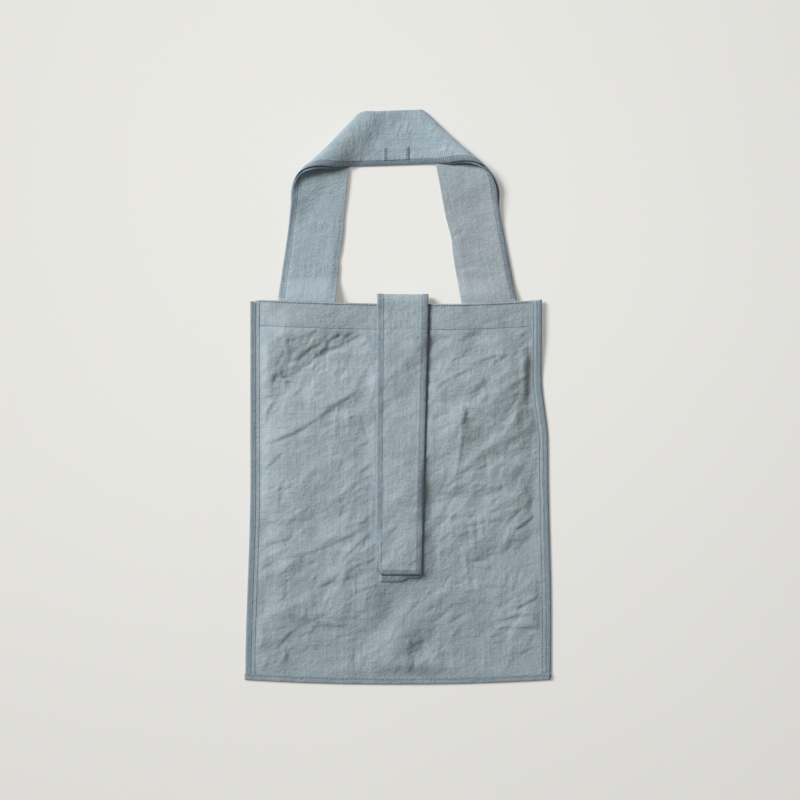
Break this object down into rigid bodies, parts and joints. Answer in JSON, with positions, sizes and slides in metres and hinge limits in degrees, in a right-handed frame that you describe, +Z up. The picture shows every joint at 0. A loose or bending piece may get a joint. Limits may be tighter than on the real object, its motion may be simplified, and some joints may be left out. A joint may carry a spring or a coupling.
{
  "type": "tote bag",
  "caption": "Flat cloth tote bag with folded strap handles above its mouth and closing ties laid over the front, for carrying shopping or books.",
  "frame": {"origin": "middle of the underside of the whole bag's box, as the bag lies on its back with the handles laid out above the mouth", "axes": "+Z up, out of the front panel; +Y towards the mouth and the handles; +X to the right as seen from above"},
  "size_m": [0.307, 0.573, 0.012],
  "materials": {
    "cloth": "washed and crinkled grey-blue cotton and linen, matt",
    "thread": "grey-blue overlocking thread, matt"
  },
  "bodies": {
    "bag": {"back_panel": "cloth", "front_panel": "cloth", "back_facing": "cloth", "front_facing": "cloth", "left_overlock": "thread", "right_overlock": "thread", "bottom_seam": "cloth", "front_handle_left_end": "cloth", "front_handle_right_end": "cloth", "back_handle_left_end": "cloth", "back_handle_right_end": "cloth", "front_tie_root": "cloth", "back_tie_root": "cloth"},
    "front_handle": {"front_handle": "cloth", "label": "cloth"},
    "back_handle": {"back_handle": "cloth"},
    "front_tie": {"front_tie": "cloth"},
    "back_tie": {"back_tie": "cloth"}
  },
  "joints": [
    {"name": "front_handle_swing", "type": "hinge", "parent": "bag", "child": "front_handle", "pos_m": [0, 0.09326, 0.0109], "axis": [1, 0, 0], "range_deg": [0, 175]},
    {"name": "back_handle_swing", "type": "hinge", "parent": "bag", "child": "back_handle", "pos_m": [0, 0.09326, 0.0109], "axis": [1, 0, 0], "range_deg": [0, 161]},
    {"name": "back_tie_swing", "type": "hinge", "parent": "bag", "child": "back_tie", "pos_m": [0, 0.10236, 0.0064], "axis": [-1, 0, 0], "range_deg": [0, 170]},
    {"name": "front_tie_swing", "type": "hinge", "parent": "bag", "child": "front_tie", "pos_m": [0, 0.09686, 0.0099], "axis": [-1, 0, 0], "range_deg": [0, 153]}
  ],
  "couplings": [
    {"joint": "back_handle_swing", "follows": "front_handle_swing", "ratio": 0.92},
    {"joint": "front_tie_swing", "follows": "back_tie_swing", "ratio": 0.9}
  ]
}
